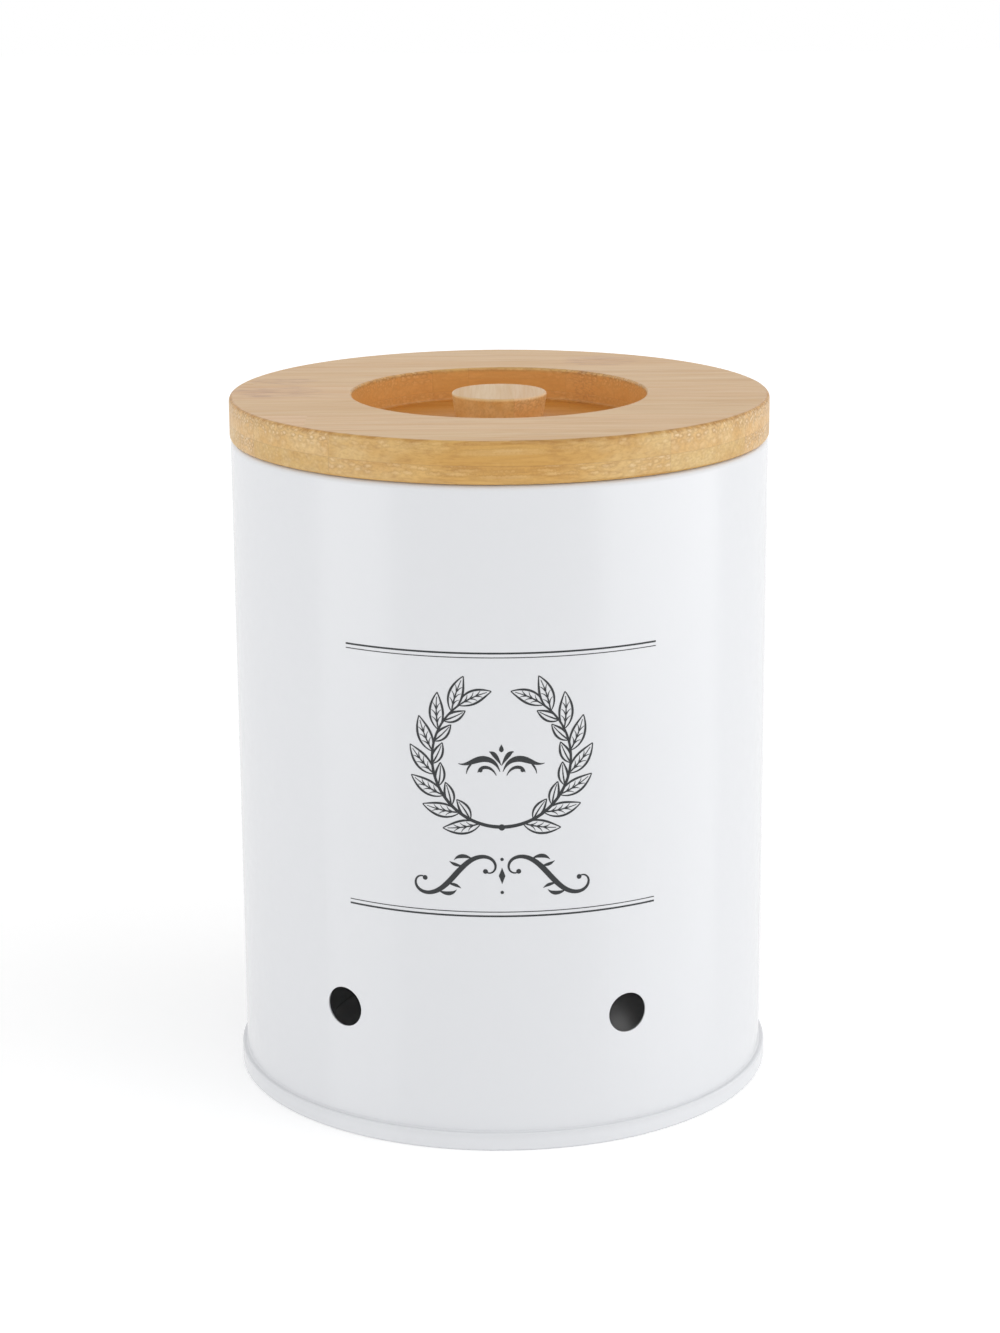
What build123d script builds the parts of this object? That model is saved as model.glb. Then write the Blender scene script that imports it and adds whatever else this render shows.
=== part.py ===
from build123d import *
import os

# A garlic keeper: a seamed sheet-steel can with vents, and a turned bamboo lid with a sunk knob.
# Millimetres. +Z is up and z = 0 is the table. The printed front faces -Y, the side seam the back.

# Can wall, one rolled sheet
can_diameter = 130.0            # outside of the wall
can_height = 159.0              # table to the top of the curled rim
sheet_gauge = 0.38              # coated sheet, wall and base alike
rim_curl = 3.2                  # thickness of the inward curl
rim_curl_turn = 290.0           # degrees the sheet turns inside the curl
seam_azimuth = 85.8             # where the side seam stands, counted from +X towards +Y

# Vents, punched in the flat sheet on one pitch
vent_count = 6
vent_pitch = 62.0               # degrees between neighbours
vent_diameter = 9.7
vent_height = 31.4

# Lock seam up the side
side_seam_width = 4.5           # folded strip on the inside
side_seam_layers = 3            # sheets in the fold, the wall included
side_seam_groove = 0.3          # depth of the outer joint line
side_seam_margin = 1.0          # from the fold's ends to the curl and the base panel

# Double seam at the foot
seam_height = 4.3               # table to the top of the seam
layer_gap = 0.04                # between the interlocked sheets
hook_gap = 0.15                 # beyond the tip of each hook

# Base panel
panel_rise = 5.0                # table to the middle of the sheet at the panel's edge
panel_bend = 1.2                # bend radius from the chuck wall to the panel
step_diameter = 92.0            # the panel's stiffening step
step_bend = 2.0
step_angle = 30.0
step_run = 0.8                  # straight sheet between the step's two bends

# Lid board
lid_overhang = 0.2              # of the disc beyond the can's wall
lid_thickness = 10.0
lid_edge_round = 0.9
seat_gap = 0.1                  # under the disc, where it rests on the rim
plug_depth = 7.0
plug_clearance = 0.9            # radial, between the plug and the rim
plug_chamfer_height = 2.2
plug_chamfer_width = 1.6
recess_diameter = 71.4
recess_depth = 8.0
recess_edge_round = 0.6
recess_floor_round = 0.8

# Knob
knob_top_diameter = 23.2
knob_base_diameter = 20.6
knob_edge_round = 0.6

# Knob screw, a 4 x 12 pan head driven from below
screw_diameter = 4.0
screw_length = 12.0
screw_point = 2.5
screw_head_diameter = 7.6
screw_head_height = 2.4
screw_head_round = 1.2
drive_width = 0.9
drive_span = 4.2
drive_depth = 1.3
head_clearance = 0.5            # radial, in the counterbore
head_cover = 0.6                # how far the head sits inside the counterbore
shank_clearance = 0.15          # radial, in the board's hole
thread_clearance = 0.03         # radial, in the knob's hole
point_clearance = 0.4           # beyond the screw's point

# Sizes worked out from the above
wall_radius = can_diameter / 2
tight_bend = sheet_gauge / 2
sharpest = 0.001                # a smaller radius is a sharp corner
layer_pitch = sheet_gauge + layer_gap
hook_middle = wall_radius + layer_gap + sheet_gauge / 2
body_fold_height = sheet_gauge + layer_pitch
base_fold_height = seam_height - sheet_gauge
curl_middle_radius = (rim_curl - sheet_gauge) / 2
rim_opening_radius = wall_radius - rim_curl
seat_height = can_height + seat_gap
lid_top = seat_height + lid_thickness
recess_floor = lid_top - recess_depth
plug_bottom = seat_height - plug_depth
plug_radius = rim_opening_radius - plug_clearance
head_seat = plug_bottom + head_cover + screw_head_height


class SheetOutline:
    """Outline of a bent sheet in the (radius, height) plane, walked along its middle line."""

    def __init__(self, radius, height, heading):
        self.place = Vector(radius, height)
        self.ahead = Vector(1, 0).rotate(Axis.Z, heading)
        self.sides = [], []

    def _offsets(self):
        left = self.ahead.rotate(Axis.Z, 90) * (sheet_gauge / 2)
        return left, left * -1

    def run(self, length):
        start, self.place = self.place, self.place + self.ahead * length
        for side, offset in zip(self.sides, self._offsets()):
            side.append(Line(start + offset, self.place + offset))

    def run_to_height(self, height):
        self.run(abs(height - self.place.Y))

    def run_to_radius(self, radius):
        self.run(abs(radius - self.place.X))

    def bend(self, angle, radius=tight_bend):
        """Turn left by the angle, or right where it is negative, on this middle radius.

        A tight bend leaves the inside corner sharp, as pressing the sheet flat does.
        """
        towards = 90 if angle > 0 else -90
        centre = self.place + self.ahead.rotate(Axis.Z, towards) * radius
        spoke = self.place - centre
        for side, offset in zip(self.sides, self._offsets()):
            edge = spoke + offset
            if edge.length > sharpest:
                stops = [centre + edge.rotate(Axis.Z, angle * share) for share in (0, 0.5, 1)]
                side.append(ThreePointArc(*stops))
        self.place = centre + spoke.rotate(Axis.Z, angle)
        self.ahead = self.ahead.rotate(Axis.Z, angle)

    def fold(self, width):
        """Turn right round on two tight bends, to run back at this distance."""
        self.bend(-90)
        self.run(width - 2 * tight_bend)
        self.bend(-90)

    def face(self):
        left, right = self.sides
        first_cut = Line(left[0] @ 0, right[0] @ 0)
        last_cut = Line(left[-1] @ 1, right[-1] @ 1)
        return make_face(Curve() + left + right + [first_cut, last_cut])


def turned(profile):
    """A solid of revolution about Z from a face drawn as (radius, height)."""
    return revolve(Plane.XZ * profile, Axis.Z)


def rounded(profile, radius, *corners):
    """The face with the corners nearest to these points rounded."""
    for corner in corners:
        profile = fillet(profile.vertices().sort_by_distance(corner)[0], radius)
    return profile


def disc(diameter, low, high):
    """A plain upright cylinder on the axis between two heights."""
    return Pos(0, 0, low) * extrude(Circle(diameter / 2), high - low)


def can_wall():
    """Hook, wall and curl, as one sheet rolled round the axis."""
    sheet = SheetOutline(hook_middle + layer_pitch, base_fold_height - hook_gap, -90)
    sheet.run_to_height(body_fold_height)
    sheet.fold(2 * layer_pitch)
    sheet.run_to_height(can_height - rim_curl / 2)
    sheet.bend(rim_curl_turn, curl_middle_radius)
    return turned(sheet.face())


def side_seam():
    """The folded strip that joins the sheet's edges, on the inside at +X."""
    low = panel_rise + panel_bend + side_seam_margin
    high = can_height - rim_curl - side_seam_margin
    inner = wall_radius - side_seam_layers * sheet_gauge
    ring = Circle(wall_radius - sheet_gauge / 2) - Circle(inner)
    strip = ring & Pos(wall_radius, 0) * Rectangle(wall_radius, side_seam_width)
    return Pos(0, 0, low) * extrude(strip, high - low)


def side_groove():
    """The joint line that the side seam leaves outside, from the foot seam to the curl."""
    low = seam_height + side_seam_margin
    high = can_height - rim_curl
    side = side_seam_groove * 2**0.5
    notch = Pos(wall_radius, 0) * Rot(0, 0, 45) * Rectangle(side, side)
    return Pos(0, 0, low) * extrude(notch, high - low)


def vents():
    """Radial punches, spread evenly about the side opposite the side seam."""
    punch = Pos(wall_radius, 0, vent_height) * Rot(0, 90, 0) * Cylinder(vent_diameter / 2, wall_radius)
    middle = (vent_count - 1) / 2
    return [Rot(0, 0, 180 + vent_pitch * (number - middle)) * punch for number in range(vent_count)]


def can_body():
    body = can_wall() + side_seam() - side_groove() - vents()
    return Rot(0, 0, seam_azimuth) * body


def can_base():
    """End hook, seaming wall, foot ring, chuck wall and stepped panel, as one pressed sheet."""
    sheet = SheetOutline(hook_middle, body_fold_height + hook_gap, 90)
    sheet.run_to_height(base_fold_height)
    sheet.fold(2 * layer_pitch)
    sheet.run_to_height(sheet_gauge)
    sheet.fold(4 * layer_pitch)
    sheet.run_to_height(panel_rise - panel_bend)
    sheet.bend(90, panel_bend)
    sheet.run_to_radius(step_diameter / 2)
    sheet.bend(-step_angle, step_bend)
    sheet.run(step_run)
    sheet.bend(step_angle, step_bend)
    sheet.run_to_radius(0)
    return turned(sheet.face())


def lid_board():
    """Disc with a sunk recess above and a chamfered plug below, bored for the screw."""
    lid_radius = wall_radius + lid_overhang
    recess_radius = recess_diameter / 2
    profile = make_face(
        Polyline(
            (0, plug_bottom),
            (plug_radius - plug_chamfer_width, plug_bottom),
            (plug_radius, plug_bottom + plug_chamfer_height),
            (plug_radius, seat_height),
            (lid_radius, seat_height),
            (lid_radius, lid_top),
            (recess_radius, lid_top),
            (recess_radius, recess_floor),
            (0, recess_floor),
            close=True,
        )
    )
    profile = rounded(profile, lid_edge_round, (lid_radius, seat_height), (lid_radius, lid_top))
    profile = rounded(profile, recess_edge_round, (recess_radius, lid_top))
    profile = rounded(profile, recess_floor_round, (recess_radius, recess_floor))
    counterbore = disc(screw_head_diameter + 2 * head_clearance, plug_bottom, head_seat)
    shank_hole = disc(screw_diameter + 2 * shank_clearance, plug_bottom, recess_floor)
    return turned(profile) - counterbore - shank_hole


def knob():
    """Tapered knob, its top level with the board, with a blind hole for the screw."""
    profile = make_face(
        Polyline(
            (0, recess_floor),
            (knob_base_diameter / 2, recess_floor),
            (knob_top_diameter / 2, lid_top),
            (0, lid_top),
            close=True,
        )
    )
    profile = rounded(profile, knob_edge_round, (knob_top_diameter / 2, lid_top))
    hole_top = head_seat + screw_length + point_clearance
    return turned(profile) - disc(screw_diameter + 2 * thread_clearance, recess_floor, hole_top)


def knob_screw():
    """Pan head below, plain shank up through the board, point inside the knob."""
    head_radius = screw_head_diameter / 2
    shank_radius = screw_diameter / 2
    head_face = head_seat - screw_head_height
    tip = head_seat + screw_length
    profile = make_face(
        Polyline(
            (0, head_face),
            (head_radius, head_face),
            (head_radius, head_seat),
            (shank_radius, head_seat),
            (shank_radius, tip - screw_point),
            (0, tip),
            close=True,
        )
    )
    profile = rounded(profile, screw_head_round, (head_radius, head_face))
    slot = Pos(0, 0, head_face) * Box(drive_span, drive_width, 2 * drive_depth)
    return turned(profile) - slot - Rot(0, 0, 90) * slot


os.makedirs("parts", exist_ok=True)
for make in (can_body, can_base, lid_board, knob, knob_screw):
    export_step(make(), f"parts/{make.__name__}.step")
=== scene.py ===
import cmath
import math

import bmesh
import bpy
from mathutils import Matrix, Vector


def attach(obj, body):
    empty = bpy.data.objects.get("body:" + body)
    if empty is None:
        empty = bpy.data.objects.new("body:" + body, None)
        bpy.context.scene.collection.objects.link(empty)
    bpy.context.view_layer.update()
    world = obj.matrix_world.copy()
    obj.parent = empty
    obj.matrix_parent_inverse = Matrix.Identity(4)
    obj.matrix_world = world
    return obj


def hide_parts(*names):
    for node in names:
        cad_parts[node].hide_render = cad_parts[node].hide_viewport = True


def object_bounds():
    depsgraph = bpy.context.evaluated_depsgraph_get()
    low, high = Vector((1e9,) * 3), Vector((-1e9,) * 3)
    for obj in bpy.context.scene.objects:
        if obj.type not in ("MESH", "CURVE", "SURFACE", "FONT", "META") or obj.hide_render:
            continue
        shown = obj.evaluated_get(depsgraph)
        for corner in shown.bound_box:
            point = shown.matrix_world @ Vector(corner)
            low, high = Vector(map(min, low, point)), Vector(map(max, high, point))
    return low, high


# A white, printed sheet-steel garlic keeper with a turned bamboo lid, dressed over its CAD frame.
# Metres, unless a name says otherwise. The printed front faces -Y.

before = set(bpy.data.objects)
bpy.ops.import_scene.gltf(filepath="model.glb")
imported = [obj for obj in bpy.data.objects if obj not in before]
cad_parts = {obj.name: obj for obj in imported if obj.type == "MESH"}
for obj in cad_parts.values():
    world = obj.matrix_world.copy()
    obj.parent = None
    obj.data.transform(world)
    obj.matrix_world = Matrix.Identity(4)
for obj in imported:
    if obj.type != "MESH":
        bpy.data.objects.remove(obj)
cad_low, cad_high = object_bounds()

MM = 0.001

# Camera, fitted to the photograph's 1000 x 1333 pixel frame
CAMERA_PLACE = (-0.0002, -0.7336, 0.2949)
CAMERA_DOWN = 14.86             # degrees below level
CAMERA_ROLL = -0.35             # degrees about its own axis
CAMERA_LENS = 82.8              # mm, with a 36 mm sensor on the frame's long side
SENSOR = 36.0

# Bamboo board, in millimetres
STRIP_WIDTH = 21.0
STRIP_LENGTH = 170.0
PLY_THICKNESS = 17.0 / 3         # the lid is three plies thick
GLUE_LINE = 0.16
RECESS_RADIUS = 35.7            # inside it the grain is evened out, with painted light on its wall and painted shade on its floor
RECESS_DEPTH = 8.0
NODE_SPOTS = (                  # x, y, reach along and across the fibres
    (-54.0, 0.0, 12.0, 9.0),
    (-53.0, 16.0, 9.0, 5.0),
    (26.0, 46.0, 9.0, 9.0),
    (21.0, 28.0, 4.0, 3.0),
)

# Bamboo's colours: those that the grain mixes, and tints that multiply them
CANE_DARK, CANE_LIGHT = (0.61, 0.345, 0.105, 1), (0.67, 0.425, 0.16, 1)
STRIP_DARK, STRIP_LIGHT = (0.93, 0.96, 0.90, 1), (1.05, 1.03, 1.08, 1)
FINE_LINE, STREAK = (0.42, 0.20, 0.05, 1), (0.40, 0.20, 0.06, 1)
BUNDLE_CORE, BUNDLE_SHEATH = (0.78, 0.55, 0.27, 1), (0.32, 0.15, 0.04, 1)
GLUE, NODE_MARK = (0.30, 0.15, 0.05, 1), (0.36, 0.16, 0.06, 1)
RECESS_EVENED = (0.60, 0.36, 0.13, 1)
# Recess tints: painted warm light on the wall, painted warm shade on the floor
RECESS_WALL_LIGHT_TINT, RECESS_FLOOR_SHADE_TINT = (1.26, 1.10, 0.94, 1), (0.84, 0.58, 0.25, 1)
SIDE_ENDS_TINT = (1.05, 1.19, 1.60, 1)
ARRIS_TINT = (0.84, 0.76, 0.62, 1)
# The top tints are partly the sanded top's own paler colour and partly painted sheen
BOARD_TINT, BOARD_TOP_SANDED_AND_SHEEN_TINT = (1.06, 1.02, 0.92, 1), (1.13, 1.25, 1.93, 1)
KNOB_TINT, KNOB_TOP_SANDED_AND_SHEEN_TINT = (1.40, 1.42, 1.66, 1), (0.87, 0.95, 1.26, 1)

# Front print, in millimetres. A point is across + height * 1j, across from the middle of the front.
INK_THICKNESS = 0.025
INK_DEPTH = 0.01                # how far the film's back lies inside the wall's surface
THINNEST_LINE = 0.03
RULE_HEIGHTS = (120.0, 58.4)     # middles of the double rules that frame the print
RULE_LENGTH = 75.0
RULE_SHIFT = 0.51                # of each line of a double rule from their middle
THICK_RULE, THIN_RULE = 0.42, 0.2
WREATH_CENTRE = 95.5j
WREATH_RADIUS = 16.0
WREATH_LEAVES = 7               # outside the stem, on each side
WREATH_PITCH = 19.5             # degrees between neighbours
WREATH_FIRST = -72              # degrees, where the lowest one leaves the stem
STEM_START, STEM_END = -97, 53  # degrees
PALMETTE_FOOT = 91.8j
SCROLL_MIDDLE = 67.7j

# Crease above the seam, in millimetres
SEAM_TOP = 4.3
SHOULDER = 2.2                  # how far below the seam's top the painted shade and dust reach
CREASE_SHADE_AND_DUST = 0.05              # share of the coating's colour that the painted shade and dust there take
FILLET_RADIUS = 0.38
FILLET_SINK = 0.05              # how far it lies inside the sheets it joins
FILLET_STEPS = 6
RING_STEPS = 240

# Knob screw's thread, in millimetres
SCREW_RADIUS = 2.0
THREAD_PITCH = 1.8
THREAD_DEPTH = 0.55
THREAD_SHARE = 0.5              # of the pitch that the ridge takes up
THREAD_START = 0.2              # from the head's seat
THREAD_RAMP = 0.6               # in which it comes to its full depth
POINT_LENGTH = 3.0
POINT_RADIUS = 0.04
THREAD_STEP = 0.12
SMOOTH_UP_TO = 35               # degrees between faces

# Lighting
WORLD_LEVEL = 0.74              # what the room gives the object
WORLD_SLOPE = (-0.06, -0.08, 0.04)
GLOW_LEVEL = 0.95               # of the softly bright part of the room, up on the right
GLOW_WAY = (0.74, -0.20, 0.64)
GLOW_FALL = 10.0                # the larger, the narrower it is
FLOOR_SIZE = 8.0
FLOOR_COLOUR = 0.93
FLOOR_LIFT_NEAR, FLOOR_LIFT_FAR = 0.21, 0.32    # what makes the floor white where it is seen directly
FLOOR_LIFT_REACH = (0.3, 1.2)
FLOOR_POLISH = 0.6              # share of polish that only glossy rays see


class Shader:
    """A node tree, with short calls for the nodes that the materials use."""

    def __init__(self, owner):
        owner.use_nodes = True
        self.tree = owner.node_tree
        self.tree.nodes.clear()

    def node(self, kind, inputs=None, **settings):
        made = self.tree.nodes.new("ShaderNode" + kind)
        for name, value in settings.items():
            setattr(made, name, value)
        for socket, value in (inputs or {}).items():
            self.put(made.inputs[socket], value)
        return made

    def put(self, socket, value):
        if isinstance(value, bpy.types.NodeSocket):
            self.tree.links.new(value, socket)
        else:
            socket.default_value = value

    def math(self, operation, first, second=0.0, third=0.0):
        made = self.node("Math", {0: first, 1: second, 2: third}, operation=operation)
        return made.outputs[0]

    def scaled(self, vector, scale):
        made = self.node("VectorMath", {0: vector, 1: scale}, operation="MULTIPLY")
        return made.outputs[0]

    def moved(self, vector, by):
        return self.node("VectorMath", {0: vector, 1: by}, operation="ADD").outputs[0]

    def length(self, vector):
        return self.node("VectorMath", {0: vector}, operation="LENGTH").outputs["Value"]

    def along(self, vector, way):
        return self.node("VectorMath", {0: vector, 1: way}, operation="DOT_PRODUCT").outputs["Value"]

    def from_axis(self, place):
        """How far a place lies from the upright axis."""
        return self.length(self.scaled(place, (1, 1, 0)))

    def product(self, first, *others):
        for other in others:
            first = self.math("MULTIPLY", first, other)
        return first

    def joined(self, **axes):
        return self.node("CombineXYZ", axes).outputs[0]

    def noise(self, vector, scale, detail=2.0, roughness=0.5):
        inputs = {"Vector": vector, "Scale": scale, "Detail": detail, "Roughness": roughness}
        return self.node("TexNoise", inputs).outputs["Fac"]

    def ranged(self, value, low, high, to_low=0.0, to_high=1.0):
        inputs = {"Value": value, "From Min": low, "From Max": high, "To Min": to_low, "To Max": to_high}
        return self.node("MapRange", inputs, interpolation_type="SMOOTHSTEP").outputs[0]

    def mixed(self, share, first, second, blend="MIX"):
        made = self.node("Mix", data_type="RGBA", blend_type=blend)
        self.put(made.inputs[0], share)
        self.put(made.inputs[6], first)
        self.put(made.inputs[7], second)
        return made.outputs[2]

    def bumped(self, height, distance, strength=1.0):
        inputs = {"Height": height, "Distance": distance, "Strength": strength}
        return self.node("Bump", inputs).outputs[0]

    def finish(self, surface):
        self.node("OutputMaterial", {"Surface": surface})


def seam_clear():
    """A height, in metres, well above the seamed foot: the middle of the part."""
    return (cad_low.z + cad_high.z) / 2


def reach(node, above=0.0):
    """How far this CAD node's points above a height in metres lie from the axis, at most, in millimetres."""
    points = [vertex.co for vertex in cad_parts[node].data.vertices]
    return max(math.hypot(point.x, point.y) for point in points if point.z > above) / MM


def grey(level):
    return (level, level, level, 1.0)


def millimetres(shader):
    """The surface's own coordinates, in millimetres."""
    return shader.scaled(shader.node("TexCoord").outputs["Object"], (1 / MM,) * 3)


def crease_shade_and_dust(shader, place, height):
    """Painted shade, with a trace of dust, in the crease above the seam and on the seam's shoulder, the same
    all round.
    """
    radius = reach("can_body", seam_clear())
    outside = shader.ranged(shader.from_axis(place), radius - 0.4, radius - 0.1)
    above = shader.ranged(height, SEAM_TOP + 0.1, SEAM_TOP + 0.7, 1.0, 0.0)
    below = shader.ranged(height, SEAM_TOP - SHOULDER, SEAM_TOP + 0.1)
    return shader.product(above, below, outside, CREASE_SHADE_AND_DUST)


def white_coating():
    """Satin powder coat on sheet steel: faint orange peel, and a trace of cloudiness."""
    material = bpy.data.materials.new("white_coating")
    shader = Shader(material)
    place = millimetres(shader)
    cloud = shader.noise(place, 0.035, detail=3.0)
    mottle = shader.noise(place, 0.4, detail=3.0)
    tone = shader.math("MULTIPLY_ADD", cloud, 0.35, shader.math("MULTIPLY", mottle, 0.65))
    colour = shader.mixed(tone, (0.752, 0.763, 0.786, 1), (0.766, 0.776, 0.798, 1))
    height = shader.node("SeparateXYZ", {"Vector": place}).outputs["Z"]
    # Painted shade, with a trace of dust, darkens the coating in the crease above the seam
    colour = shader.mixed(crease_shade_and_dust(shader, place, height), colour, grey(0.0), "MULTIPLY")
    peel = shader.noise(place, 1.1, detail=2.0, roughness=0.45)
    dust = shader.noise(place, 5.0, detail=2.0)
    relief = shader.math("MULTIPLY_ADD", dust, 0.25, peel)
    surface = shader.node(
        "BsdfPrincipled",
        {
            "Base Color": colour,
            "Roughness": shader.ranged(mottle, 0.3, 0.7, 0.19, 0.24),
            "IOR": 1.5,
            "Normal": shader.bumped(relief, 0.00004, 0.25),
        },
    )
    shader.finish(surface.outputs[0])
    return material


def strips(shader, place):
    """The laminated strips: each one's own colour and value, the height within it, and the glue lines."""
    axes = shader.node("SeparateXYZ", {"Vector": place}).outputs
    across = shader.math("MULTIPLY_ADD", axes["Y"], 1 / STRIP_WIDTH, 0.5)
    down = shader.math("MULTIPLY", axes["Z"], 1 / PLY_THICKNESS)
    row = shader.joined(Y=shader.math("FLOOR", across), Z=shader.math("FLOOR", down))
    row = shader.moved(row, (0.5, 0.5, 0.5))
    slide = shader.node("TexWhiteNoise", {"Vector": row}, noise_dimensions="3D").outputs["Value"]
    along = shader.math("MULTIPLY_ADD", axes["X"], 1 / STRIP_LENGTH, slide)
    run = shader.joined(X=shader.math("FLOOR", along))
    cell = shader.node("VectorMath", {0: row, 1: run}, operation="ADD").outputs[0]
    cane = shader.node("TexWhiteNoise", {"Vector": cell}, noise_dimensions="3D").outputs

    def joint(position, size):
        inside = shader.math("PINGPONG", position, 0.5)
        return shader.ranged(inside, 0.0, GLUE_LINE / size, 1.0, 0.0)

    glue = shader.math("MAXIMUM", joint(across, STRIP_WIDTH), joint(down, PLY_THICKNESS))
    glue = shader.math("MAXIMUM", glue, joint(along, STRIP_LENGTH))
    return cane["Color"], cane["Value"], shader.math("FRACT", down), glue


def bundles(shader, fibre, spacing):
    """Bundles of fibres cut across: pale cores and the dark sheaths round them, each of its own size."""
    axes = shader.node("SeparateXYZ", {"Vector": fibre}).outputs
    section = {"Vector": shader.joined(X=axes["Y"], Y=axes["Z"]), "Scale": 1 / spacing}
    cells = shader.node("TexVoronoi", section, voronoi_dimensions="2D").outputs
    ragged = shader.math("MULTIPLY_ADD", shader.noise(fibre, 2.4 / spacing), 0.7, -0.35)
    out = shader.math("ADD", cells["Distance"], ragged)
    own = shader.node("SeparateColor", {"Color": cells["Color"]}).outputs[0]
    inner = shader.ranged(out, 0.08, 0.44, 1.0, 0.0)
    whole = shader.ranged(out, 0.36, 0.66, 1.0, 0.0)
    core = shader.product(inner, shader.ranged(own, 0.0, 1.0, 0.35, 1.0))
    return core, shader.math("SUBTRACT", whole, inner)


def marks(shader, place, spots):
    """Where the cane's nodes lie: 1 inside each spot, given as NODE_SPOTS are."""
    total = 0.0
    edge = shader.math("MULTIPLY_ADD", shader.noise(shader.scaled(place, (0.15, 0.5, 0.5)), 1.0), 1.2, -0.6)
    for x, y, along, across in spots:
        out = shader.length(shader.scaled(shader.moved(place, (-x, -y, 0)), (1 / along, 1 / across, 0)))
        inside = shader.ranged(shader.math("ADD", out, edge), 0.6, 1.15, 1.0, 0.0)
        total = shader.math("MAXIMUM", inside, total)
    return total


def turned_parts(shader, base, place, streak):
    """The board's turned surfaces: the recess, its grain evened out, with painted light on its wall and
    painted shade on its floor; the side paler towards its ends; and a darker, dotted band on the upper edge.
    """
    axes = shader.node("SeparateXYZ", {"Vector": place}).outputs
    out = shader.from_axis(place)
    edge = reach("lid_board")
    within = shader.ranged(out, RECESS_RADIUS, RECESS_RADIUS + 0.4, 1.0, 0.0)
    deep = shader.product(within, shader.ranged(axes["Z"], -1.4, -0.2, 1.0, 0.0))
    low, high = 0.1 - RECESS_DEPTH, 0.8 - RECESS_DEPTH
    evened = shader.product(deep, shader.ranged(axes["Z"], low, high, 0.35, 0.6))
    base = shader.mixed(evened, base, RECESS_EVENED)
    # Painted light on the recess wall and painted shade on its floor
    on_floor = shader.ranged(axes["Z"], low, high, 1.0, 0.0)
    lacquer = shader.mixed(on_floor, RECESS_WALL_LIGHT_TINT, RECESS_FLOOR_SHADE_TINT)
    base = shader.mixed(deep, base, lacquer, "MULTIPLY")
    # Paler and bluer towards both ends of the disc's side, along X
    ends = shader.ranged(shader.math("ABSOLUTE", axes["X"]), 5.0, 45.0)
    ends = shader.product(ends, shader.ranged(out, edge - 0.3, edge - 0.05))
    base = shader.mixed(ends, base, SIDE_ENDS_TINT, "MULTIPLY")
    # A darker band, dotted along the grain, on the rounded upper edge
    arris = shader.product(shader.ranged(axes["Z"], -1.1, -0.5), shader.ranged(out, edge - 0.9, edge - 0.6))
    arris = shader.product(arris, shader.ranged(streak, 0.40, 0.62, 0.25, 1.0))
    return shader.mixed(arris, base, ARRIS_TINT, "MULTIPLY")


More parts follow.
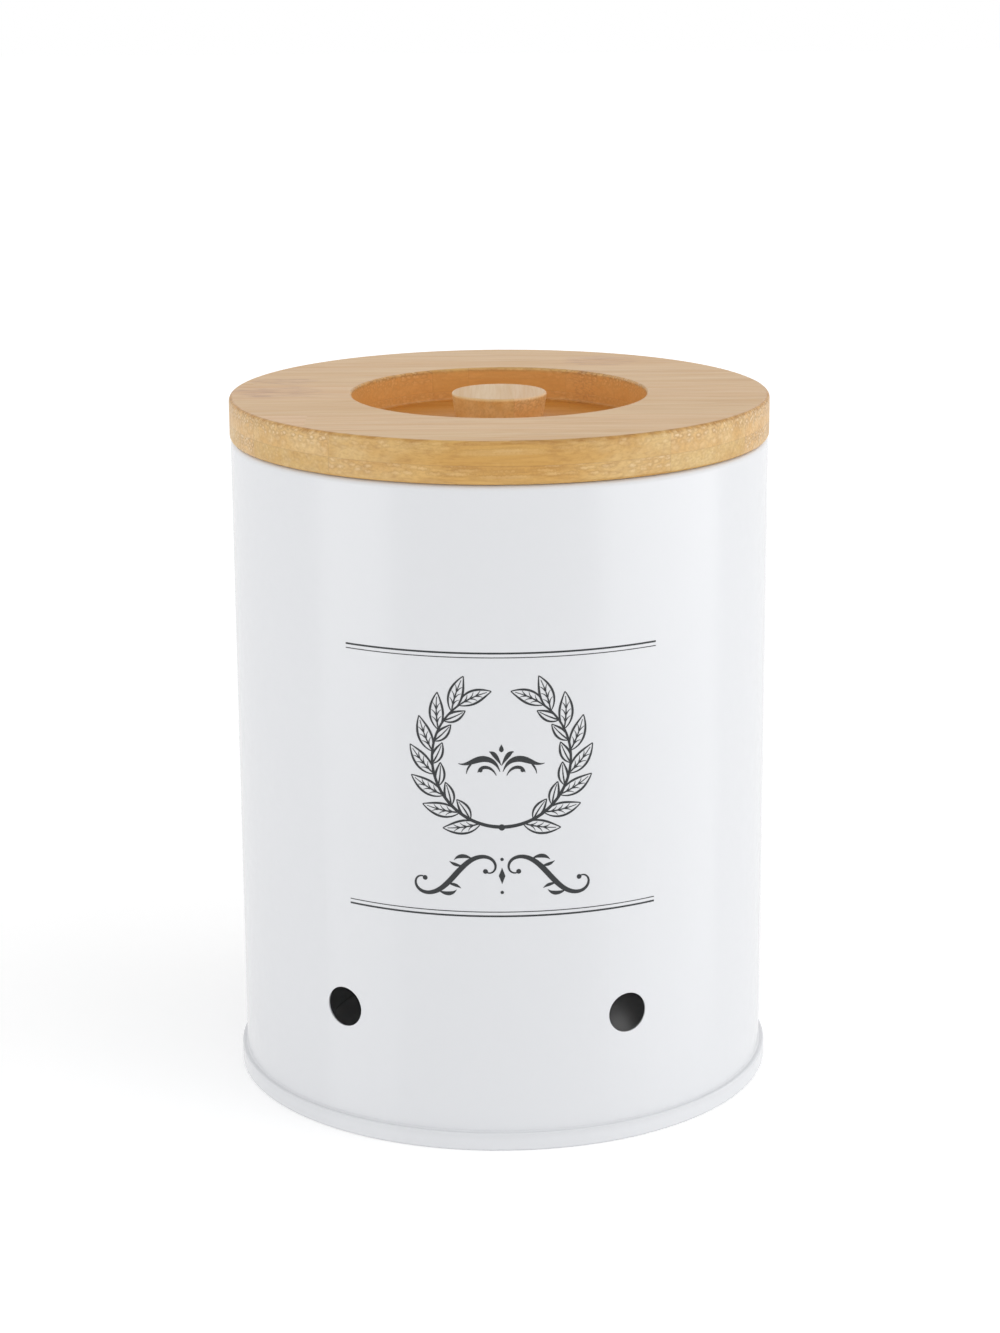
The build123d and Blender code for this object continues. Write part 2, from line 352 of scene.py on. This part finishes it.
def bamboo(name, turn, seed, tint, top_sanded_and_sheen_tint, top_reach, contrasts, spots=(), recess=False):
    """Solid bamboo under satin lacquer, as laminated strips whose fibres run along X turned by this angle.

    The seed shifts the grain. The contrasts are those of the grain on the sides and on the sanded top, which
    takes over within top_reach of the upper face.
    """
    material = bpy.data.materials.new(name)
    shader = Shader(material)
    place = shader.moved(millimetres(shader), (0, 0, -cad_high.z / MM))
    axes = shader.node("SeparateXYZ", {"Vector": place}).outputs
    contrast = shader.ranged(axes["Z"], -top_reach, -0.02, *contrasts)
    turning = {"Vector": place, "Angle": turn}
    turned_place = shader.node("VectorRotate", turning, rotation_type="Z_AXIS").outputs[0]
    turned_place = shader.moved(turned_place, seed)
    colour, value, height, glue = strips(shader, turned_place)
    fibre = shader.moved(turned_place, shader.scaled(colour, (300, 40, 40)))

    # The fibres wander a little on their way
    slow = {"Vector": shader.scaled(fibre, (0.02, 0.06, 0.06)), "Scale": 1.0, "Detail": 2.0}
    sway = shader.moved(shader.node("TexNoise", slow).outputs["Color"], (-0.5, -0.5, -0.5))
    fibre = shader.moved(fibre, shader.scaled(sway, (0, 3.0, 3.0)))

    # Dense small bundles in the outer part of each strip's cane, which lies upwards, and few below
    dense = shader.ranged(height, 0.25, 0.7)
    small, small_sheath = bundles(shader, fibre, 1.2)
    large, large_sheath = bundles(shader, fibre, 2.0)
    core = shader.math("MULTIPLY_ADD", small, dense, shader.math("MULTIPLY", large, 0.3))
    sheath = shader.math("MULTIPLY_ADD", small_sheath, dense, shader.math("MULTIPLY", large_sheath, 0.3))
    own = shader.ranged(value, 0.0, 1.0, 0.25, 1.25)
    fine = shader.noise(shader.scaled(fibre, (0.05, 2.0, 2.0)), 1.0, detail=3.0, roughness=0.55)
    broad = shader.noise(shader.scaled(fibre, (0.012, 0.22, 0.22)), 1.0, detail=2.0)
    streak = shader.noise(shader.scaled(fibre, (0.045, 0.6, 0.6)), 1.0, detail=3.0, roughness=0.6)

    base = shader.mixed(shader.ranged(broad, 0.3, 0.7), CANE_DARK, CANE_LIGHT)
    base = shader.mixed(1.0, base, shader.mixed(value, STRIP_DARK, STRIP_LIGHT), "MULTIPLY")
    base = shader.mixed(1.0, base, tint, "MULTIPLY")
    own = shader.product(own, contrast)
    fine_lines = shader.product(shader.ranged(fine, 0.40, 0.75, 0.0, 0.36), contrast)
    base = shader.mixed(fine_lines, base, FINE_LINE)
    streaks = shader.product(shader.ranged(streak, 0.44, 0.74, 0.0, 0.32), contrast)
    base = shader.mixed(streaks, base, STREAK)
    base = shader.mixed(shader.product(core, own, 0.66), base, BUNDLE_CORE)
    base = shader.mixed(shader.product(sheath, own, 0.42), base, BUNDLE_SHEATH)
    base = shader.mixed(shader.product(glue, 0.22), base, GLUE)
    if spots:
        dashes = shader.noise(shader.scaled(fibre, (0.16, 2.2, 2.2)), 1.0, detail=2.0)
        dashes = shader.ranged(dashes, 0.48, 0.60)
        dashes = shader.math("MULTIPLY_ADD", dashes, 0.62, 0.07)
        base = shader.mixed(shader.product(dashes, marks(shader, place, spots)), base, NODE_MARK)

    # The sanded top takes less lacquer than the turned sides, and comes out paler; the tint also holds
    # painted sheen, the paleness a grazing reflection gives the top
    base = shader.mixed(shader.ranged(axes["Z"], -top_reach, -0.02), base, top_sanded_and_sheen_tint, "MULTIPLY")
    if recess:
        base = turned_parts(shader, base, place, streak)

    rough = shader.ranged(fine, 0.3, 0.8, 0.36, 0.50)
    relief = shader.math("MULTIPLY_ADD", core, 0.5, fine)
    relief = shader.math("MULTIPLY_ADD", glue, -0.8, relief)
    surface = shader.node(
        "BsdfPrincipled",
        {
            "Base Color": base,
            "Roughness": rough,
            "IOR": 1.5,
            "Specular IOR Level": 0.34,
            "Normal": shader.bumped(relief, 0.00006, 0.4),
        },
    )
    shader.finish(surface.outputs[0])
    return material


def zinc():
    """Bright zinc on a turned steel screw."""
    material = bpy.data.materials.new("zinc_screw")
    shader = Shader(material)
    place = millimetres(shader)
    wear = shader.noise(place, 0.9, detail=3.0)
    turning = shader.noise(shader.scaled(place, (0.4, 0.4, 9.0)), 1.0, detail=2.0)
    surface = shader.node(
        "BsdfPrincipled",
        {
            "Base Color": shader.mixed(wear, (0.55, 0.55, 0.54, 1), (0.66, 0.66, 0.63, 1)),
            "Metallic": 1.0,
            "Roughness": shader.ranged(wear, 0.3, 0.7, 0.26, 0.42),
            "Normal": shader.bumped(turning, 0.00003, 0.4),
        },
    )
    shader.finish(surface.outputs[0])
    return material


def ink():
    """Black screen-printing ink: a thin satin film, a little uneven."""
    material = bpy.data.materials.new("print_ink")
    shader = Shader(material)
    place = millimetres(shader)
    density = shader.noise(place, 2.2, detail=3.0)
    surface = shader.node(
        "BsdfPrincipled",
        {
            "Base Color": shader.mixed(density, (0.014, 0.016, 0.018, 1), (0.030, 0.034, 0.037, 1)),
            "Roughness": shader.ranged(density, 0.3, 0.7, 0.42, 0.55),
            "Normal": shader.bumped(density, 0.00001, 0.3),
        },
    )
    shader.finish(surface.outputs[0])
    return material


def dress(node, material):
    """Gives a CAD node its material."""
    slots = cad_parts[node].data.materials
    slots.clear()
    slots.append(material)


# The front print is drawn flat with pen strokes and wrapped round the wall. A stroke is a line and the
# width along it. Its motifs and their layout are the script's own.


def shares(count):
    return [number / count for number in range(count + 1)]


def turned(degrees):
    return cmath.rect(1, math.radians(degrees))


def bezier(start, first, second, end, count=20):
    return [
        (1 - t) ** 3 * start + 3 * (1 - t) ** 2 * t * first + 3 * (1 - t) * t * t * second + t**3 * end
        for t in shares(count)
    ]


def walk(start, heading, length, bends, step=0.2):
    """A line from start whose bend, in degrees per millimetre, changes evenly through the given values."""
    count = max(8, round(length / step))
    points = [start]
    for t in shares(count)[1:]:
        place = t * (len(bends) - 1)
        near = min(int(place), len(bends) - 2)
        bend = bends[near] + (bends[near + 1] - bends[near]) * (place - near)
        heading += bend * length / count
        points.append(points[-1] + turned(heading) * length / count)
    return points


def swell(width, thin=0.15, peak=0.5):
    """Thin at both ends and thickest at peak."""
    def at(t):
        u = 0.5 * t / peak if t < peak else 0.5 + 0.5 * (t - peak) / (1 - peak)
        return width * (thin + (1 - thin) * math.sin(math.pi * u) ** 1.3)
    return at


def sides(line, widths):
    left, right = [], []
    last = len(line) - 1
    for number, point in enumerate(line):
        ahead = line[min(number + 1, last)] - line[max(number - 1, 0)]
        offset = ahead / abs(ahead) * 1j * max(widths(number / last), THINNEST_LINE) / 2
        left.append(point + offset)
        right.append(point - offset)
    return left, right


def mirrored(strokes):
    """The strokes and their mirror images across the middle."""
    return strokes + [([-point.conjugate() for point in line], widths) for line, widths in strokes]


def dot(centre, diameter):
    line = [centre + diameter * (0.5 - 0.5 * math.cos(math.pi * t)) - diameter / 2 for t in shares(16)]
    return line, lambda t: diameter * math.sin(math.pi * t)


def lozenge(centre, width, height):
    line = [centre + width * (t - 0.5) for t in shares(4)]
    return line, lambda t: height * (1 - abs(2 * t - 1))


def leaf(base, heading, length, width, droop, veins=4):
    """A pointed leaf in outline with its midrib and side veins; droop is how far its midrib turns."""
    rib = walk(base, heading, length, (droop / length,) * 2, step=length / 24)
    count = len(rib) - 1

    def edge(side, t, share=1.0):
        number = min(int(t * count), count - 1)
        place = rib[number] + (rib[number + 1] - rib[number]) * (t * count - number)
        ahead = rib[min(number + 1, count)] - rib[max(number - 1, 0)]
        half = width / 2 * math.sin(math.pi * t**0.85) ** 0.9
        return place + side * 1j * ahead / abs(ahead) * half * share

    strokes = [(rib[: count - 2], swell(0.36, thin=0.45, peak=0.15))]
    for side in (1, -1):
        strokes.append(([edge(side, t) for t in shares(count)], swell(0.52, thin=0.45, peak=0.55)))
        for number in range(veins):
            t = 0.16 + 0.36 * number / max(veins - 1, 1)
            start, end = edge(side, t, 0.0), edge(side, t + 0.19, 0.74)
            middle = edge(side, t + 0.13, 0.28)
            strokes.append((bezier(start, middle, middle, end, 8), swell(0.25, thin=0.4, peak=0.2)))
    return strokes


def wreath():
    """A round garland, open at the top: on each side a stem, leaves outside it, small ones inside."""
    def on_ring(degrees):
        return WREATH_CENTRE + WREATH_RADIUS * turned(degrees)

    stem = [on_ring(STEM_START + (STEM_END - STEM_START) * t) for t in shares(60)]
    half = [(stem, lambda t: 0.85 - 0.4 * t)]
    for number in range(WREATH_LEAVES):
        outer = WREATH_FIRST + WREATH_PITCH * number
        inner = outer + 9
        half += leaf(on_ring(outer), outer + 90 - 36, 8.8, 3.1, 18, veins=3)
        if number < WREATH_LEAVES - 1:
            half += leaf(on_ring(inner), inner + 90 + 38, 5.6, 2.1, -16, veins=0)
    half += leaf(stem[-1], STEM_END + 90, 8.2, 3.0, 24, veins=3)
    return mirrored(half) + [dot(on_ring(-90) - 0.1j, 1.5)]


def palmette():
    """A small palmette inside the wreath."""
    half = [
        (walk(PALMETTE_FOOT - 0.05 + 2.4j, 118, 4.4, (0, 4, 34)), swell(1.05, thin=0.12, peak=0.68)),
        (walk(PALMETTE_FOOT - 0.35 + 0.9j, 108, 11.2, (6, 17, 15, -2, -26)), swell(1.45, 0.1, 0.52)),
        (walk(PALMETTE_FOOT - 6.7 + 2.8j, 218, 2.9, (14, 18)), swell(0.46, thin=0.3, peak=0.3)),
        (walk(PALMETTE_FOOT - 1.2, 112, 5.6, (10, 26, 34)), swell(0.8, thin=0.2, peak=0.7)),
        dot(PALMETTE_FOOT - 4.8 + 1.2j, 0.95),
    ]
    drop = [PALMETTE_FOOT + 5.5j + 1.9j * t for t in shares(14)]
    return mirrored(half) + [(drop, lambda t: 1.05 * math.sin(math.pi * t**0.65) ** 1.1)]


def rules():
    """Two double rules that frame the print, the thick line of each on its outer side."""
    strokes = []
    for middle, outward in zip(RULE_HEIGHTS, (1, -1)):
        for shift, width in ((RULE_SHIFT * outward, THICK_RULE), (-RULE_SHIFT * outward, THIN_RULE)):
            ends = [RULE_LENGTH * (t - 0.5) + (middle + shift) * 1j for t in shares(80)]
            strokes.append((ends, lambda t, width=width: width))
    return strokes


def ess(middle, heading, length, bends):
    """An S, drawn both ways from its middle, its bend growing towards the curled ends."""
    one = walk(middle, heading, length / 2, bends)
    other = walk(middle, heading + 180, length / 2, bends)
    return other[:0:-1] + one


def sprout(line, share, turn, length, bends, width):
    """A small leaf that leaves a line at this share of it, turned this far from the line's direction."""
    number = round(share * (len(line) - 2))
    heading = math.degrees(cmath.phase(line[number + 1] - line[number]))
    return walk(line[number], heading + turn, length, bends), swell(width, thin=0.1, peak=0.55)


def scroll():
    """A running scroll under the wreath: on each side an S with curled ends and small leaves."""
    curl = ess(SCROLL_MIDDLE + 10.9, -50, 31.5, (0, 4, 13, 26, 50))
    half = [
        (curl, swell(1.3, thin=0.22)),
        dot(curl[0], 1.15),
        dot(curl[-1], 1.15),
        sprout(curl, 0.32, 62, 4.8, (-8, -26), 0.95),
        sprout(curl, 0.41, 48, 3.5, (4, 16), 0.75),
        sprout(curl, 0.68, -118, 4.8, (-8, -26), 0.95),
        sprout(curl, 0.59, -132, 3.5, (4, 16), 0.75),
    ]
    middle = [lozenge(SCROLL_MIDDLE, 1.5, 4.0), dot(SCROLL_MIDDLE + 4j, 0.8), dot(SCROLL_MIDDLE - 4j, 0.8)]
    return mirrored(half) + middle


def make_print(name, strokes, material):
    """One drawing, as closed films on the wall. Later strokes lie a trace higher, so none coincide."""
    radius = reach("can_body", seam_clear())
    points, faces = [], []

    def wrapped(point, out):
        angle = point.real / radius
        x, y = (radius + out) * math.sin(angle), -(radius + out) * math.cos(angle)
        return x * MM, y * MM, point.imag * MM

    for number, (line, widths) in enumerate(strokes):
        top = INK_THICKNESS * (1 + 0.4 * number / len(strokes))
        left, right = sides(line, widths)
        first = len(points)
        for one, other in zip(left, right):
            points += [wrapped(one, top), wrapped(other, top)]
            points += [wrapped(other, -INK_DEPTH), wrapped(one, -INK_DEPTH)]
        for start in range(first, len(points) - 4, 4):
            for corner in range(4):
                after = (corner + 1) % 4
                faces.append((start + corner, start + after, start + 4 + after, start + 4 + corner))
        faces += [(first + 3, first + 2, first + 1, first), tuple(range(len(points) - 4, len(points)))]
    mesh = bpy.data.meshes.new(name)
    mesh.from_pydata(points, [], faces)
    mesh.materials.append(material)
    piece = bpy.data.objects.new(name, mesh)
    bpy.context.scene.collection.objects.link(piece)
    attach(piece, "can")


def make_seam_fillet(material):
    """The coating that fills the crease above the double seam, as a closed ring on the wall."""
    radius = reach("can_body", seam_clear())
    hooks = [vertex.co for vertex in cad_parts["can_base"].data.vertices]
    top = max(point.z for point in hooks if math.hypot(point.x, point.y) / MM > radius) / MM
    outline = [(radius - FILLET_SINK, top - FILLET_SINK), (radius + FILLET_RADIUS, top - FILLET_SINK)]
    for turn in shares(FILLET_STEPS):
        angle = math.radians(90 * turn)
        across = FILLET_RADIUS * (1 - math.sin(angle)) - FILLET_SINK
        up = FILLET_RADIUS * (1 - math.cos(angle)) + FILLET_SINK / 2
        outline.append((radius + across, top + up))
    count = len(outline)
    points, faces = [], []
    for number in range(RING_STEPS):
        way = cmath.rect(MM, 2 * math.pi * number / RING_STEPS)
        points += [(out * way.real, out * way.imag, up * MM) for out, up in outline]
        ahead = (number + 1) % RING_STEPS
        for corner in range(count):
            after = (corner + 1) % count
            here, there = number * count, ahead * count
            faces.append((here + corner, there + corner, there + after, here + after))
    mesh = bpy.data.meshes.new("seam_fillet")
    mesh.from_pydata(points, [], faces)
    mesh.materials.append(material)
    mesh.shade_smooth()
    piece = bpy.data.objects.new("seam_fillet", mesh)
    bpy.context.scene.collection.objects.link(piece)
    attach(piece, "can")


def thread_radius(angle, up, left):
    """The threaded shank's radius at this angle, this far up from the seat and with this much left to go."""
    turn = (up / THREAD_PITCH - angle / (2 * math.pi)) % 1
    ridge = max(0.0, 1 - abs(2 * turn - 1) / THREAD_SHARE)
    cut = min(max((up - THREAD_START) / THREAD_RAMP, 0.0), 1.0)
    radius = SCREW_RADIUS - THREAD_DEPTH * cut * (1 - ridge)
    return max(radius * min(left / POINT_LENGTH, 1.0) ** 0.8, POINT_RADIUS)


def make_screw(material):
    """The knob's screw: the head of the CAD's own, and from its seat a shank with the thread cut."""
    solid = bmesh.new()
    solid.from_mesh(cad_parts["knob_screw"].data)
    bmesh.ops.remove_doubles(solid, verts=solid.verts, dist=0.001 * MM)
    tip = max(vertex.co.z for vertex in solid.verts)
    seat = max(vertex.co.z for vertex in solid.verts if vertex.co.xy.length > 1.2 * SCREW_RADIUS * MM)
    shank = [vertex for vertex in solid.verts if vertex.co.z > seat + 0.1 * MM]
    bmesh.ops.delete(solid, geom=shank, context="VERTS")
    loop = [edge for edge in solid.edges if edge.is_boundary]
    length = (tip - seat) / MM
    for up in shares(round(length / THREAD_STEP))[1:]:
        grown = bmesh.ops.extrude_edge_only(solid, edges=loop)["geom"]
        loop = [part for part in grown if isinstance(part, bmesh.types.BMEdge) and part.is_boundary]
        for part in grown:
            if isinstance(part, bmesh.types.BMVert):
                angle = math.atan2(part.co.y, part.co.x)
                radius = thread_radius(angle, length * up, length * (1 - up)) * MM
                part.co = (radius * math.cos(angle), radius * math.sin(angle), seat + length * up * MM)
    bmesh.ops.edgeloop_fill(solid, edges=loop)
    bmesh.ops.recalc_face_normals(solid, faces=solid.faces)
    mesh = bpy.data.meshes.new("threaded_screw")
    solid.to_mesh(mesh)
    solid.free()
    mesh.materials.clear()
    mesh.materials.append(material)
    mesh.shade_smooth()
    mesh.set_sharp_from_angle(angle=math.radians(SMOOTH_UP_TO))
    piece = bpy.data.objects.new("threaded_screw", mesh)
    bpy.context.scene.collection.objects.link(piece)
    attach(piece, "lid")
    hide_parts("knob_screw")


def make_camera():
    camera = bpy.data.objects.new("camera", bpy.data.cameras.new("camera"))
    camera.data.lens = CAMERA_LENS
    camera.data.sensor_width = SENSOR
    camera.location = CAMERA_PLACE
    tilt = Matrix.Rotation(math.radians(90 - CAMERA_DOWN), 3, "X")
    camera.rotation_euler = (tilt @ Matrix.Rotation(math.radians(CAMERA_ROLL), 3, "Z")).to_euler()
    bpy.context.scene.collection.objects.link(camera)
    bpy.context.scene.camera = camera


def seen_directly(shader):
    """1 for camera, glossy and transmitted rays, which see the white background, and 0 for the rest."""
    path = shader.node("LightPath").outputs
    seen = shader.math("MAXIMUM", path["Is Camera Ray"], path["Is Glossy Ray"])
    return shader.math("MAXIMUM", seen, path["Is Transmission Ray"])


def make_world():
    world = bpy.data.worlds.new("world")
    bpy.context.scene.world = world
    shader = Shader(world)
    way = shader.node("TexCoord").outputs["Generated"]
    glow = shader.math("POWER", shader.math("MAXIMUM", shader.along(way, GLOW_WAY), 0.0), GLOW_FALL)
    level = shader.math("ADD", shader.along(way, WORLD_SLOPE), WORLD_LEVEL)
    level = shader.math("MULTIPLY_ADD", glow, GLOW_LEVEL, level)
    level = shader.mixed(seen_directly(shader), level, grey(1.0))
    background = shader.node("Background", {"Color": grey(1.0), "Strength": level})
    shader.node("OutputWorld", {"Surface": background.outputs[0]})


def make_floor():
    """A plain white floor that keeps the object's shadow."""
    half = FLOOR_SIZE / 2
    mesh = bpy.data.meshes.new("floor")
    corners = [(-half, -half, 0), (half, -half, 0), (half, half, 0), (-half, half, 0)]
    mesh.from_pydata(corners, [], [(0, 1, 2, 3)])
    floor = bpy.data.objects.new("floor", mesh)
    bpy.context.scene.collection.objects.link(floor)
    material = bpy.data.materials.new("floor")
    shader = Shader(material)
    out = shader.length(shader.node("TexCoord").outputs["Object"])
    lift = shader.ranged(out, *FLOOR_LIFT_REACH, FLOOR_LIFT_NEAR, FLOOR_LIFT_FAR)
    lift = shader.product(seen_directly(shader), lift)
    diffuse = shader.node("BsdfDiffuse", {"Color": grey(FLOOR_COLOUR)})
    glow = shader.node("Emission", {"Color": grey(1.0), "Strength": lift})
    both = shader.node("AddShader", {0: diffuse.outputs[0], 1: glow.outputs[0]})
    polish = shader.node("BsdfGlossy", {"Color": grey(0.97), "Roughness": 0.12})
    share = shader.product(shader.node("LightPath").outputs["Is Glossy Ray"], FLOOR_POLISH)
    both = shader.node("MixShader", {0: share, 1: both.outputs[0], 2: polish.outputs[0]})
    shader.finish(both.outputs[0])
    mesh.materials.append(material)


def make_lamp(name, bearing, distance, size, power):
    """A softbox that stands on the floor and faces the object, this many degrees round from the front."""
    data = bpy.data.lights.new(name, "AREA")
    data.shape = "RECTANGLE"
    data.size, data.size_y = size
    data.energy = power
    lamp = bpy.data.objects.new(name, data)
    way = Vector((math.sin(math.radians(bearing)), -math.cos(math.radians(bearing)), 0))
    lamp.location = way * distance + Vector((0, 0, size[1] / 2))
    lamp.rotation_euler = (-way).to_track_quat("-Z", "Y").to_euler()
    lamp.visible_camera = False
    bpy.context.scene.collection.objects.link(lamp)


bpy.context.scene.view_settings.view_transform = "Standard"

coating = white_coating()
dress("can_body", coating)
dress("can_base", coating)
make_seam_fillet(coating)
board_look = (0.0, (470, 0, 0), BOARD_TINT, BOARD_TOP_SANDED_AND_SHEEN_TINT, 0.1, (1.0, 0.6))
dress("lid_board", bamboo("bamboo_board", *board_look, spots=NODE_SPOTS, recess=True))
knob_look = (math.radians(90), (31, 7, 0), KNOB_TINT, KNOB_TOP_SANDED_AND_SHEEN_TINT, 0.7, (0.65, 0.16))
dress("knob", bamboo("bamboo_knob", *knob_look))
make_screw(zinc())

black = ink()
for motif in (rules, wreath, palmette, scroll):
    make_print("print_" + motif.__name__, motif(), black)

make_camera()
make_world()
make_floor()
make_lamp("key", 70.5, 0.60, (0.70, 0.22), 0.70)
make_lamp("fill", -60.5, 0.50, (0.30, 0.30), 0.32)
